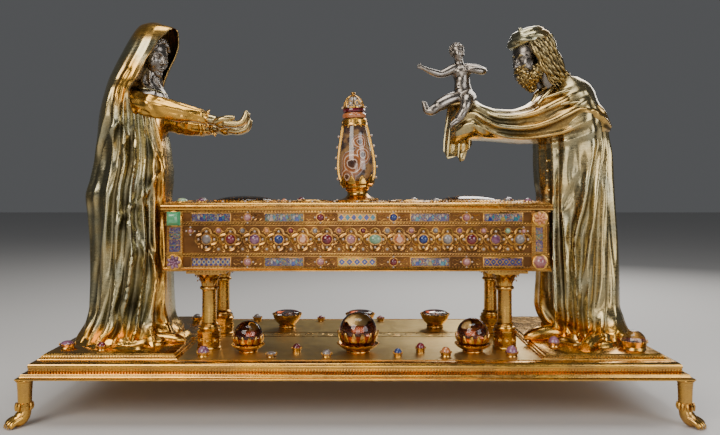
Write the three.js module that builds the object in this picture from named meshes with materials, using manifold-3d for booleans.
// A gilt reliquary: a jewelled casket on four columns stands between a veiled woman and an old man who holds
// out a child on his cloak. Millimetres, +Z up. The origin is on the surface that the reliquary stands on,
// under the middle of its base. +X is towards the old man, and -Y is towards the viewer.

import * as THREE from "three";
import { mergeVertices } from "three/addons/utils/BufferGeometryUtils.js";
import Module from "manifold-3d";

const wasm = await Module();
wasm.setup();

// Driving dimensions

const BASE = { halfLength: 295, halfDepth: 105, bottom: 42.5, top: 57 };
// The moulded edge of the base, from the bottom up: how far it stands out from the top surface, and its height.
const BASE_EDGE = [[15, 42.5], [15, 43.75], [12, 44.5], [11, 47.25], [7.5, 48], [6, 51.5], [6.5, 54], [5, 56.25],
  [2, 57]];
const FOOT = { x: 303.2, y: 113.2, turn: 40 };
const PLINTH = { top: 62, slope: 5, front: -102, back: 102, left: [-297, -166], right: [175, 293] };
const COLUMN = { x: 148, front: -54, back: 19, block: 11, shaft: 7.25, impost: 19.5 };
const CASKET = { halfLength: 186.5, halfDepth: 56.5, x: 2, middle: -17.5, bottom: 137, top: 196, wall: 3, lid: 203.5 };
// Heights of the raised strips that part the casket's sides into bands: bottom, top, and how far they stand out.
const STRIPS = [[137, 141, 2.5], [151, 154.5, 1.5], [181.5, 185, 1.5], [193.5, 196, 1.5]];
const PLAQUE = { pitch: 71, count: 5, width: 39, height: 9, out: 1, low: 146, high: 189.25 };
const ROSETTE = { first: -146.5, pitch: 23.45, count: 14, z: 168, radius: 6.5, out: 3 };
const CORNER_POST = { x: 177, half: 7.5, out: 2 };
const CORNER_STONE = { x: 177.5, low: 146, high: 188.3, radius: 7.5 };
const LENS = { x: 118, radius: 31, rim: 2.5, height: 5.5 };
const FLASK = { x: 3, lean: 2.5, sides: 10 };
const GAP = 0.3;

// Finishes

const gilt = new THREE.MeshStandardMaterial({ color: 0xd9a441, metalness: 1, roughness: 0.25 });
const paleGilt = new THREE.MeshStandardMaterial({ color: 0xb9a86a, metalness: 1, roughness: 0.3 });
const silver = new THREE.MeshStandardMaterial({ color: 0x9a948c, metalness: 1, roughness: 0.3 });
const agate = new THREE.MeshStandardMaterial({ color: 0x9a6a48, metalness: 0, roughness: 0.12 });
const crystal = new THREE.MeshStandardMaterial({ color: 0xd8dce0, metalness: 0, roughness: 0.05 });
const amethyst = new THREE.MeshStandardMaterial({ color: 0xa8788f, metalness: 0, roughness: 0.1 });
const emerald = new THREE.MeshStandardMaterial({ color: 0x3fae6a, metalness: 0, roughness: 0.15 });

// Solids

function degrees(angle) {
  return THREE.MathUtils.degToRad(angle);
}

// A closed geometry as a manifold-3d solid, for joining and cutting.
function solid(geometry) {
  const plain = geometry.index ? geometry.toNonIndexed() : geometry.clone();
  plain.deleteAttribute("normal");
  plain.deleteAttribute("uv");
  const merged = mergeVertices(plain, 1e-4);
  return new wasm.Manifold(new wasm.Mesh({
    numProp: 3,
    vertProperties: merged.attributes.position.array,
    triVerts: new Uint32Array(merged.index.array),
  }));
}

function geometryOf(manifold) {
  const { vertProperties, triVerts } = manifold.getMesh();
  const geometry = new THREE.BufferGeometry();
  geometry.setAttribute("position", new THREE.BufferAttribute(vertProperties, 3));
  geometry.setIndex(new THREE.BufferAttribute(triVerts, 1));
  geometry.computeVertexNormals();
  return geometry;
}

function join(geometries) {
  return geometryOf(geometries.map(solid).reduce((all, next) => all.add(next)));
}

function cut(geometry, tools) {
  return geometryOf(tools.map(solid).reduce((rest, tool) => rest.subtract(tool), solid(geometry)));
}

// A closed surface through rings of points. Each ring runs anticlockwise, seen against the way the rings go.
function loft(rings) {
  const sides = rings[0].length;
  const points = rings.flat();
  const faces = [];
  for (let ring = 0; ring + 1 < rings.length; ring++) {
    for (let side = 0; side < sides; side++) {
      const a = ring * sides + side;
      const b = ring * sides + (side + 1) % sides;
      faces.push(a, b, b + sides, a, b + sides, a + sides);
    }
  }
  for (const first of [0, (rings.length - 1) * sides]) {
    const ring = points.slice(first, first + sides);
    const middle = points.length;
    points.push(ring.reduce((sum, p) => sum.add(p), new THREE.Vector3()).divideScalar(sides));
    for (let side = 0; side < sides; side++) {
      const here = first + side;
      const next = first + (side + 1) % sides;
      faces.push(middle, ...(first ? [here, next] : [next, here]));
    }
  }
  const geometry = new THREE.BufferGeometry().setFromPoints(points);
  geometry.setIndex(faces);
  return geometry;
}

// An upright turned shape. The profile is a row of [radius, height], from the bottom up.
function turned(profile, sides) {
  const top = profile.at(-1);
  const points = [[0, profile[0][1]], ...profile, ...(top[0] ? [[0, top[1]]] : [])];
  const outline = points.map(([radius, height]) => new THREE.Vector2(radius, height));
  return new THREE.LatheGeometry(outline, sides).rotateX(Math.PI / 2);
}

// An upright shape of stacked rectangles: rows of [half length, half depth, height].
function stepped(rows, x = 0, y = 0) {
  return loft(rows.map(([across, deep, z]) => [[-1, -1], [1, -1], [1, 1], [-1, 1]].map(([i, j]) =>
    new THREE.Vector3(x + i * across, y + j * deep, z))));
}

function block(x, y, z) {
  const size = [x, y, z].map(([low, high]) => high - low);
  const middle = [x, y, z].map(([low, high]) => (low + high) / 2);
  return new THREE.BoxGeometry(...size).translate(...middle);
}

function ball([x, y, z], [rx, ry, rz], sides = 8, rings = 6) {
  return new THREE.SphereGeometry(1, sides, rings).rotateX(Math.PI / 2).scale(rx, ry, rz).translate(x, y, z);
}

// A limb along a smooth line. Each stop is [x, y, z, radius].
function limb(stops, steps = 6, sides = 8, extra = 0) {
  const line = new THREE.CatmullRomCurve3(stops.map(([x, y, z]) => new THREE.Vector3(x, y, z)));
  const girth = new THREE.CatmullRomCurve3(stops.map((stop, i) => new THREE.Vector3(i, stop[3], 0)));
  const { normals, binormals } = line.computeFrenetFrames(steps, false);
  return loft(Array.from({ length: steps + 1 }, (_, step) => {
    const centre = line.getPoint(step / steps);
    const radius = girth.getPoint(step / steps).y + extra;
    return Array.from({ length: sides }, (__, side) => {
      const angle = 2 * Math.PI * side / sides;
      return centre.clone().addScaledVector(normals[step], radius * Math.cos(angle))
        .addScaledVector(binormals[step], radius * Math.sin(angle));
    });
  }));
}

// The value of a table at a height. Its rows are [height, value, value, ...], from low to high.
function tableAt(rows, height) {
  const above = rows.findIndex((row) => row[0] >= height);
  if (above <= 0) return (above < 0 ? rows.at(-1) : rows[0]).slice(1);
  const [low, high] = [rows[above - 1], rows[above]];
  const share = (height - low[0]) / (high[0] - low[0]);
  return low.slice(1).map((value, i) => THREE.MathUtils.lerp(value, high[i + 1], share));
}

// Drapery

// A draped shape lies in rings. Its rows are [place, low edge, high edge, middle, half depth], where the edges are
// the silhouette that the viewer sees. The crests are rows of [place, crest, crest, ...] from the low edge to the
// high one, and tell where each fold runs. The folds are rows of [place, depth of the valleys]. The far side
// repeats the folds of the near side.
function drapedRing({ rows, crests, folds }, place) {
  const within = THREE.MathUtils.clamp(place, crests[0][0], crests.at(-1)[0]);
  const [lowest, highest] = tableAt(rows, within);
  const crestTurns = tableAt(crests, within).map((crest) =>
    -Math.acos(THREE.MathUtils.clamp((2 * crest - lowest - highest) / (highest - lowest), -0.97, 0.97)));
  const near = crestTurns.flatMap((turn, i) => [[turn, 0], [(turn + (crestTurns[i + 1] ?? 0)) / 2, 1]]);
  near[near.length - 1] = [0, 0.6];
  const far = near.slice(0, -1).map(([turn, sunk]) => [-turn, sunk]).reverse();
  const [low, high, middle, half] = tableAt(rows, place);
  const [fold] = tableAt(folds, place);
  return [...near, ...far, [Math.PI, 0.6]].map(([turn, sunk]) => [
    (low + high) / 2 + ((high - low) / 2 - fold * sunk) * Math.cos(turn),
    middle + (half - fold * sunk) * Math.sin(turn),
  ]);
}

function upright(drape, places) {
  return loft(places.map((place) => drapedRing(drape, place).map(([x, y]) => new THREE.Vector3(x, y, place))));
}

function lying(drape, places) {
  return loft(places.map((place) => drapedRing(drape, place).map(([z, y]) => new THREE.Vector3(place, y, z))));
}

// The veiled woman

const WOMAN = {
  rows: [
    [62, -288, -181, -20, 54], [69, -286, -180, -20, 53], [80, -282, -188, -20, 50], [98, -277, -190, -20, 47],
    [128, -276, -192, -20, 45], [160, -276, -193, -20, 44], [190, -278, -194, -20, 44], [210, -281, -193, -20, 44],
    [226, -276, -191, -20, 43], [250, -271.5, -193, -20, 41], [271, -270, -196, -20, 40], [291, -267.5, -200, -20, 42],
    [306, -263.5, -201, -21, 41], [318, -260, -205, -22, 37], [329, -257, -209, -23, 30], [342, -251, -212, -24, 24],
    [356, -243.5, -205, -25, 21], [368, -237, -194, -25, 19.5], [379, -230.5, -188, -25, 16],
    [386, -225, -192, -25, 12], [390, -218, -204, -25, 5],
  ],
  crests: [
    [66, -272, -262, -250, -236, -218, -200, -186], [80, -271, -258, -245, -230, -216, -203, -191],
    [100, -269, -254, -240, -227, -214, -202, -195], [160, -271, -249, -236, -222, -210, -201, -195],
    [210, -273, -247, -235, -224, -212, -202, -196], [250, -266, -242, -230, -219, -210, -202, -197],
    [290, -250, -240, -230, -220, -213, -208, -204],
  ],
  folds: [[62, 11], [80, 10], [110, 8], [160, 6.5], [220, 6], [260, 7], [290, 4.5], [312, 2.5], [330, 1], [390, 0]],
};
const WOMAN_PLACES = [62, 72, 84, 104, 160, 210, 228, 250, 271, 292, 312, 329, 345, 362, 377, 386, 390];
const WOMAN_ARMS = [
  [[-236, -40, 305, 9], [-218, -51, 303, 12], [-198, -53, 298, 12], [-175, -51, 293, 11.5], [-148, -43, 289, 5.5]],
  [[-215, 12, 296, 12], [-195, 4, 289, 12], [-175, -3, 284, 11], [-158, -9, 282, 8], [-148, -14, 283, 5.5]],
];
const WOMAN_HANDS = [
  [[-152, -44, 289, 5], [-140, -41, 286, 6.5], [-128, -38, 283, 7], [-116, -34, 286, 4.5], [-109, -31, 293, 3]],
  [[-152, -13, 283, 5], [-140, -16, 282, 6.5], [-128, -19, 282, 6.5], [-116, -22, 286, 4.5], [-111, -24, 293, 3]],
];

// A head that looks along +X before it is turned.
function head(centre, width, tilt) {
  const [skull, jaw, nose] = [
    ball([0, 0, 3], [17, width, 17], 8, 6),
    ball([5, 0, -10], [11, width * 0.72, 11.5], 7, 5),
    ball([16.5, 0, -3], [4, 2.5, 6], 4, 3),
  ];
  return join([skull, jaw, nose]).rotateY(degrees(tilt)).rotateZ(degrees(centre[3]))
    .translate(centre[0], centre[1], centre[2]);
}

function woman() {
  const hollow = ball([0, 0, 0], [17, 17, 30], 9, 7).rotateY(degrees(-14)).translate(-190, -31, 348);
  const cloak = cut(upright(WOMAN, WOMAN_PLACES), [hollow]);
  const face = head([-206, -27, 357, -30], 13, 16);
  const neck = limb([[-222, -22, 315, 15], [-215, -24, 330, 11], [-210, -25, 345, 9]], 2, 7);
  const chest = ball([-215, -25, 305], [18, 30, 18], 8, 5);
  const arms = WOMAN_ARMS.map((stops) => limb(stops, 5, 7));
  const hands = WOMAN_HANDS.map((stops) => limb(stops, 5, 6));
  const shoe = limb([[-200, -44, 66, 7], [-186, -46, 66, 6], [-174, -48, 64, 4]], 2, 6);
  const below = block([-320, -140], [-100, 60], [50, PLINTH.top]);
  return cut(join([cloak, face, neck, chest, ...arms, ...hands, shoe]), [below]);
}

// The old man

const OLD_MAN_ROBE = {
  rows: [
    [62, 203, 292, -14, 52], [72, 201, 289, -14, 50], [85, 195, 284.5, -14, 47], [98, 191, 280, -14, 45],
    [129, 192, 279, -14, 44], [160, 193.2, 277.5, -14, 43], [210, 193.2, 274, -14, 43], [224, 191, 273, -14, 43],
    [250, 190, 271, -14, 44], [268, 190, 267, -14, 45], [280, 191, 264, -16, 46], [297, 192, 258, -18, 45],
    [308, 194, 252, -20, 41], [318, 198, 248, -22, 35], [326, 204, 242, -24, 26], [332, 210, 232, -24, 18],
  ],
  crests: [
    [66, 196, 206, 214, 224, 232, 242, 258], [100, 192, 203, 213, 222, 232, 250, 264],
    [160, 190, 202, 212, 220, 236, 254, 267], [210, 190, 202, 208, 231, 243, 254, 264],
    [262, 189, 200, 210, 240, 250, 257, 263],
  ],
  folds: [[62, 10], [80, 9], [110, 7], [200, 6], [262, 5], [297, 2], [332, 0]],
};
const OLD_MAN_PLACES = [62, 71, 83, 100, 160, 210, 262, 282, 300, 314, 325, 332];
// The cloak over his forearms, from the end that hangs under the child to his back. Places are along X.
const SLING = {
  rows: [
    [98, 264, 294, -26, 10], [104, 261, 304, -26, 18], [113, 262, 311, -26, 23], [123, 265.5, 311, -26, 26],
    [132, 265, 306, -26, 29], [145, 264, 302, -25, 33], [160, 263, 301.5, -24, 36], [176, 262, 306, -23, 40],
    [192, 262, 316, -22, 44], [210, 263, 322, -20, 46], [230, 264, 320, -18, 46], [250, 266, 308, -16, 41],
    [262, 273, 290, -15, 27],
  ],
  crests: [
    [98, 272, 281, 289], [117, 283, 294, 304], [130, 277, 287, 298], [146, 270, 279, 292], [172, 268, 277, 291],
    [206, 273, 287, 306], [228, 279, 297, 312], [262, 277, 281, 286],
  ],
  folds: [[98, 2], [113, 4], [145, 7], [210, 8], [250, 5], [262, 2]],
};
const SLING_PLACES = [262, 250, 230, 206, 184, 163, 145, 130, 117, 105, 98];

function oldMan() {
  const robe = upright(OLD_MAN_ROBE, OLD_MAN_PLACES);
  const face = head([183, -28, 355, 207], 13.5, 20);
  const neck = limb([[214, -24, 318, 17], [204, -25, 333, 14], [196, -26, 346, 13]], 2, 8);
  const hair = [
    limb([[197, -27, 370, 13], [203, -26, 355, 15], [212, -25, 340, 13], [219, -24, 328, 9]], 4, 8),
    limb([[190, -44, 366, 6], [197, -44, 352, 8], [202, -42, 338, 7], [206, -38, 328, 4]], 3, 6),
  ];
  const beard = limb([[174, -34, 348, 9], [173, -36, 340, 11], [176, -36, 331, 9], [179, -36, 324, 5]], 4, 7);
  const cap = turned([[17, -1], [22, 3], [21, 8], [18, 10], [16, 15], [8, 18]], 10)
    .rotateY(degrees(-14)).translate(181, -27, 369);
  const tails = [
    limb([[95, -36, 270, 4], [97, -36, 262, 7], [100, -36, 254, 7], [100, -36, 249, 5]], 2, 6),
    limb([[106, -38, 270, 7], [107, -38, 260, 8], [108, -38, 252, 7], [108, -38, 248, 5]], 2, 6),
  ];
  const shoes = [
    limb([[212, -32, 68, 8], [200, -33, 70, 8], [190, -34, 67, 7], [178, -34, 65, 4]], 2, 6),
    limb([[244, -50, 68, 9], [238, -66, 68, 8], [228, -79, 66, 6.5], [219, -88, 64, 3]], 3, 6),
  ];
  const below = block([140, 330], [-110, 60], [50, PLINTH.top]);
  const clear = childPieces(GAP);
  return cut(join([robe, lying(SLING, SLING_PLACES), face, neck, ...hair, beard, cap, ...tails, ...shoes]), [below, ...clear]);
}

// The child

const CHILD_LIMBS = [
  [[112, -26, 312, 9], [113, -26, 322, 10.5], [112, -26, 334, 11], [109, -26, 344, 9], [107, -27, 351, 5]],
  [[104, -27, 345, 4.5], [95, -29, 338, 4.2], [88, -32, 336, 3.8], [78, -36, 338, 3], [70, -38, 341, 2.5],
    [63, -39, 342, 1.5]],
  [[117, -27, 345, 4.5], [127, -30, 343, 4.3], [134, -34, 341, 4], [126, -41, 338, 3.6], [116, -42, 338, 2.6]],
  [[108, -31, 312, 7.5], [97, -36, 308, 6.5], [86, -41, 303, 6], [77, -42, 297, 4.2], [72, -43, 297, 3.8]],
  [[116, -32, 312, 7.5], [114, -43, 307, 6.5], [112, -48, 300, 6], [107, -48, 291, 4.5], [103, -49, 285, 3.6]],
];
const CHILD_FEET = [
  [[73, -43, 298, 3.5], [71, -43, 303, 3.2], [69, -43, 308, 2.4], [68, -43, 311, 1.2]],
  [[103, -49, 286, 3.5], [100, -51, 283, 3.2], [96, -53, 281, 2.4], [94, -54, 281, 1.2]],
];

function childPieces(extra) {
  const skull = ball([107, -28, 359], [8.4 + extra, 8.4 + extra, 9 + extra], 8, 6);
  return [skull, ...CHILD_LIMBS.map((stops) => limb(stops, 5, 6, extra)),
    ...CHILD_FEET.map((stops) => limb(stops, 2, 5, extra))];
}

// The base, its feet and the two plinths

function basePlate() {
  return stepped(BASE_EDGE.map(([out, z]) => [BASE.halfLength + out, BASE.halfDepth + out, z]));
}

function plinth([left, right]) {
  const { front, back, top, slope } = PLINTH;
  const [across, deep] = [(right - left) / 2, (back - front) / 2];
  const rows = [[across, deep, BASE.top], [across - 1, deep - 1, BASE.top + 1.5], [across - 2, deep - 2, BASE.top + 2],
    [across - slope + 1, deep - slope + 1, top - 1.5], [across - slope, deep - slope, top]];
  return stepped(rows, (left + right) / 2, (front + back) / 2);
}

// A leg that turns into a paw. Each stop on its way down is [x, z, turn from straight down, half width, half
// thickness, depth of the furrows between the toes].
const PAW = [
  [0, 42.5, 0, 6.8, 6.8, 0], [0, 21, 0, 6, 6, 0], [0, 17, 0, 7.3, 7.3, 0], [0.5, 13.5, 15, 6, 6, 0],
  [3, 9, 45, 7, 7.2, 0.5], [8.5, 5, 75, 8.3, 7, 1.8], [13, 4, 87, 8.3, 5.3, 2.6], [16.5, 2.6, 90, 6.8, 3.4, 1.6],
];

function foot() {
  return loft(PAW.map(([x, z, turn, wide, thick, furrow]) => Array.from({ length: 12 }, (_, i) => {
    const angle = 2 * Math.PI * i / 12;
    const sunk = i % 2 && Math.sin(angle) > -0.1 ? furrow : 0;
    const up = (thick - sunk) * Math.sin(angle);
    const slope = degrees(turn);
    return new THREE.Vector3(x + up * Math.cos(slope), (wide - sunk / 2) * Math.cos(angle),
      Math.max(z + up * Math.sin(slope), 0));
  })));
}

// The columns

function column() {
  const { block: half, shaft, impost } = COLUMN;
  const [foot0, foot1, under] = [BASE.top, BASE.top + 20, CASKET.bottom];
  const plinthBlock = turned([[half * 1.08, foot0], [half * 1.08, foot1 - 2], [half * 0.94, foot1]], 8)
    .rotateZ(degrees(22.5));
  const body = turned([[half * 0.8, foot1 - 1], [half * 0.95, foot1 + 2], [half * 0.75, foot1 + 4.5], [shaft, foot1 + 6],
    [shaft, under - 20], [shaft + 1.75, under - 18], [shaft + 0.5, under - 15.5],
    [half * 0.95, under - 8], [half * 1.2, under - 6], [half * 1.2, under - 3.5]], 8);
  const slab = stepped([[half * 1.1, half * 1.1, under - 4], [impost, impost - 3, under - 3], [impost, impost - 3, under]]);
  return join([plinthBlock, body, slab]);
}

// The casket

// A low stone setting on a wall that faces -Y.
function setting(x, z, radius, out) {
  return turned([[radius, -1], [radius * 0.6, out]], 6)
    .rotateX(Math.PI / 2).translate(x, -CASKET.halfDepth, z);
}

function rowOf(count, pitch) {
  return Array.from({ length: count }, (_, i) => (i - (count - 1) / 2) * pitch);
}

// The back has the posts only.
function longSide(isFront) {
  const wall = [-CASKET.halfDepth - PLAQUE.out, -CASKET.halfDepth + 1];
  const posts = [-CORNER_POST.x, CORNER_POST.x].map((x) => block([x - CORNER_POST.half, x + CORNER_POST.half],
    [-CASKET.halfDepth - CORNER_POST.out, -CASKET.halfDepth + 1], [CASKET.bottom + 1, CASKET.top]));
  const plaques = [PLAQUE.low, PLAQUE.high].flatMap((z) => rowOf(PLAQUE.count, PLAQUE.pitch).map((x) =>
    block([x - PLAQUE.width / 2, x + PLAQUE.width / 2], wall, [z - PLAQUE.height / 2, z + PLAQUE.height / 2])));
  const between = [PLAQUE.low, PLAQUE.high].flatMap((z) => rowOf(PLAQUE.count - 1, PLAQUE.pitch).map((x) =>
    setting(x, z, 4.5, 4)));
  const rosettes = Array.from({ length: ROSETTE.count }, (_, i) =>
    setting(ROSETTE.first + i * ROSETTE.pitch, ROSETTE.z, ROSETTE.radius, ROSETTE.out));
  return [...posts, ...(isFront ? [...plaques, ...between, ...rosettes] : [])];
}

function casketBody() {
  const { halfLength, halfDepth, bottom, top, wall } = CASKET;
  const shell = stepped([[halfLength, halfDepth, bottom], [halfLength, halfDepth, top]]);
  const strips = STRIPS.map(([low, high, out]) =>
    stepped([[halfLength + out, halfDepth + out, low], [halfLength + out, halfDepth + out, high]]));
  const hollow = stepped([[halfLength - wall, halfDepth - wall, bottom + wall],
    [halfLength - wall, halfDepth - wall, top + 5]]);
  const front = longSide(true);
  const back = longSide(false).map((piece) => piece.rotateZ(Math.PI));
  return cut(join([shell, ...strips, ...front, ...back]), [hollow]);
}

function casketLid() {
  const { halfLength, halfDepth, top, lid } = CASKET;
  const slab = stepped([[halfLength + 2, halfDepth + 2, top], [halfLength + 4, halfDepth + 4, top + 2],
    [halfLength + 4, halfDepth + 4, top + 4.5], [halfLength + 2, halfDepth + 2, lid - 1],
    [halfLength + 1, halfDepth + 1, lid]]);
  const rims = [-LENS.x, LENS.x].map((x) => turned([[LENS.radius + LENS.rim, lid - 1],
    [LENS.radius + LENS.rim, lid + 1.5], [LENS.radius, lid + 2.25]], 14).translate(x, 0, 0));
  const seats = [-LENS.x, LENS.x].map((x) => turned([[LENS.radius - 1, lid + 0.5], [LENS.radius - 1, lid + 5]], 14)
    .translate(x, 0, 0));
  return cut(join([slab, ...rims]), seats);
}

function lens() {
  const rise = LENS.height;
  return turned([[LENS.radius - 2, 0], [LENS.radius - 2, 1.5], [LENS.radius * 0.7, rise * 0.75],
    [0, rise]], 14);
}

function cornerStone() {
  const { radius } = CORNER_STONE;
  return turned([[radius, 0], [radius * 0.8, 4], [0, 6]], 6).rotateX(Math.PI / 2);
}

// The flask on the lid

const AGATE_PROFILE = [[8, 13], [13, 16], [16, 20.5], [18, 28], [18.5, 38], [17.3, 50], [15, 63], [13, 74],
  [11.5, 80]];

function outlineAt(profile, height) {
  return tableAt(profile.map(([radius, z]) => [z, radius]), height)[0];
}

function flaskMount() {
  const { sides } = FLASK;
  const cup = turned([[22, 0], [22, 2], [14, 5], [10.5, 8], [11.3, 12], [15.5, 15], [18.5, 20.5], [20, 25]], sides);
  const collar = turned([[13.5, 78], [13.5, 83], [11, 86]], sides);
  const straps = [0, 180].map((turn) => {
    const heights = [22, 30, 38, 50, 63, 74, 80];
    return loft(heights.map((z) => {
      const inner = outlineAt(AGATE_PROFILE, z) - 1;
      const outer = inner + 3.5;
      return [[inner, -2.5], [outer, -2.5], [outer, 2.5], [inner, 2.5]].map(([x, y]) => new THREE.Vector3(x, y, z));
    })).rotateZ(degrees(turn));
  });
  const inside = turned(AGATE_PROFILE.map(([radius, z], i) => [radius + GAP, i ? z : z - GAP]), sides);
  return cut(join([cup, collar, ...straps]), [inside]);
}

function flaskStopper() {
  return turned([[11.5, 86.5], [12.3, 89.5], [11.2, 93], [11.7, 96], [11, 99], [9.5, 105], [5.5, 110],
    [2.6, 112], [0, 115]], 10);
}

// Stones on the base

// A stone in a cup: the cup's radius and height, and how high the stone rises above it.
function boss(radius, height, rise, sides = 6) {
  return turned([[radius, 0], [radius * 0.8, height + rise * 0.6], [0, height + rise]], sides);
}

function collet(radius, height) {
  const cup = turned([[radius * 0.6, 0], [radius * 0.55, height * 0.15], [radius * 0.95, height * 0.55],
    [radius * 1.08, height]], 10);
  return cut(cup, [turned([[radius * 0.82, height * 0.6], [radius * 0.98, height + 2]], 10)]);
}

// A flat-topped crystal for the tall stands.
function disc(radius, height) {
  return turned([[radius * 0.8 - GAP, height * 0.6 + GAP], [radius * 0.9 - GAP, height], [radius * 0.92, height + 1.5],
    [radius * 0.7, height + 3]], 10);
}

// A ball-shaped crystal that sinks into its collet.
function dome(radius, height) {
  const [bottom, centre] = [height * 0.6 + GAP, radius + 2];
  const start = Math.asin((bottom - centre) / radius);
  const arc = Array.from({ length: 6 }, (_, i) => start + (Math.PI / 2 - start) * i / 5);
  return turned(arc.map((angle, i) => [i < 5 ? radius * Math.cos(angle) : 0, centre + radius * Math.sin(angle)]), 10);
}

// The long row of small stones on the base: name, x, y, cup radius, cup height, rise, finish.
const BOSSES = [
  ["stone_front_1", -145, -86, 6.3, 4, 6, amethyst], ["stone_front_2", -80, -88, 5.5, 3, 2, crystal],
  ["stone_front_3", -57, -72, 4.8, 5, 4, amethyst], ["stone_front_4", -27, -88, 5, 3, 4, agate],
  ["stone_front_5", 41, -88, 4.5, 4, 4, amethyst], ["stone_front_6", 64, -72, 4.8, 5, 5, agate],
  ["stone_front_7", 87, -86, 5.5, 4, 5, crystal], ["stone_front_8", 150, -86, 6.3, 4, 6, amethyst],
  ["stone_back_1", -118, 92, 5.5, 5, 4, crystal], ["stone_back_2", -41, 92, 4.5, 4, 3, amethyst],
  ["stone_back_3", 31, 92, 4.5, 4, 3, amethyst], ["stone_back_4", 103, 92, 5, 4, 4, crystal],
];
const PLINTH_BOSSES = [
  ["stone_woman_1", -281, -72, 7.5, 4, 3, amethyst], ["stone_woman_2", -244, -82, 5, 4, 4, agate],
  ["stone_woman_3", -186, 70, 6, 4, 4, crystal], ["stone_man_1", 196, -66, 6, 4, 6, amethyst],
  ["stone_man_2", 271, -76, 13, 8, 10, crystal],
];
const DOMES = [["left", -105, 14.3, 8], ["middle", 3, 18.5, 9], ["right", 115.5, 15.6, 8.5]];
const DOME_Y = -68;
const DISCS = [["left", -78, 15], ["middle", 6, 15], ["right", 92, 15]];
const DISC_Y = 50;
const DISC_HEIGHT = 17;

// Assembly

const reliquary = new THREE.Group();

function add(name, geometry, finish, x = 0, y = 0, z = 0, parent = reliquary) {
  const mesh = new THREE.Mesh(geometry, finish);
  mesh.name = name;
  mesh.position.set(x, y, z);
  parent.add(mesh);
  return mesh;
}

add("base_plate", basePlate(), gilt);
add("plinth_woman", plinth(PLINTH.left), gilt);
add("plinth_old_man", plinth(PLINTH.right), gilt);

for (const [sideX, nameX] of [[-1, "left"], [1, "right"]]) {
  for (const [sideY, nameY] of [[-1, "front"], [1, "back"]]) {
    const leg = add(`foot_${nameY}_${nameX}`, foot(), gilt, sideX * FOOT.x, sideY * FOOT.y);
    leg.rotation.z = Math.atan2(sideY * Math.sin(degrees(FOOT.turn)), sideX * Math.cos(degrees(FOOT.turn)));
    add(`column_${nameY}_${nameX}`, column(), gilt, CASKET.x + sideX * COLUMN.x, sideY < 0 ? COLUMN.front : COLUMN.back);
    const face = new THREE.Group();
    face.position.set(CASKET.x, CASKET.middle, 0);
    face.rotation.z = sideY < 0 ? 0 : Math.PI;
    reliquary.add(face);
    for (const [z, nameZ] of [[CORNER_STONE.low, "low"], [CORNER_STONE.high, "high"]]) {
      const finish = nameZ === "high" && sideX < 0 ? emerald : amethyst;
      add(`corner_stone_${nameY}_${nameX}_${nameZ}`, cornerStone(), finish,
        sideX * -sideY * CORNER_STONE.x, -CASKET.halfDepth - STRIPS[0][2] - GAP, z, face);
    }
  }
}

add("casket_body", casketBody(), gilt, CASKET.x, CASKET.middle);
add("casket_lid", casketLid(), gilt, CASKET.x, CASKET.middle);
for (const [side, name] of [[-1, "left"], [1, "right"]]) {
  add(`lid_crystal_${name}`, lens(), crystal, CASKET.x + side * LENS.x, CASKET.middle, CASKET.lid + 0.5);
}

const flask = new THREE.Group();
flask.position.set(FLASK.x, CASKET.middle, CASKET.lid + 1.25);
flask.rotation.y = degrees(-FLASK.lean);
reliquary.add(flask);
add("flask_mount", flaskMount(), gilt, 0, 0, 0, flask);
add("flask_agate", turned(AGATE_PROFILE, FLASK.sides), agate, 0, 0, 0, flask);
add("flask_stopper", flaskStopper(), gilt, 0, 0, 0, flask);

for (const [name, x, radius, height] of DOMES) {
  add(`dome_collet_${name}`, collet(radius, height), gilt, x, DOME_Y, BASE.top);
  add(`dome_crystal_${name}`, dome(radius, height), crystal, x, DOME_Y, BASE.top);
}
for (const [name, x, radius] of DISCS) {
  add(`disc_stand_${name}`, collet(radius, DISC_HEIGHT), gilt, x, DISC_Y, BASE.top);
  add(`disc_crystal_${name}`, disc(radius, DISC_HEIGHT), crystal, x, DISC_Y, BASE.top);
}
for (const [name, x, y, radius, height, rise, finish] of BOSSES) {
  add(name, boss(radius, height, rise), finish, x, y, BASE.top);
}
for (const [name, x, y, radius, height, rise, finish] of PLINTH_BOSSES) {
  add(name, boss(radius, height, rise), finish, x, y, PLINTH.top);
}

add("woman", woman(), paleGilt);
add("old_man", oldMan(), paleGilt);
add("child", join(childPieces(0)), silver);

export default reliquary;
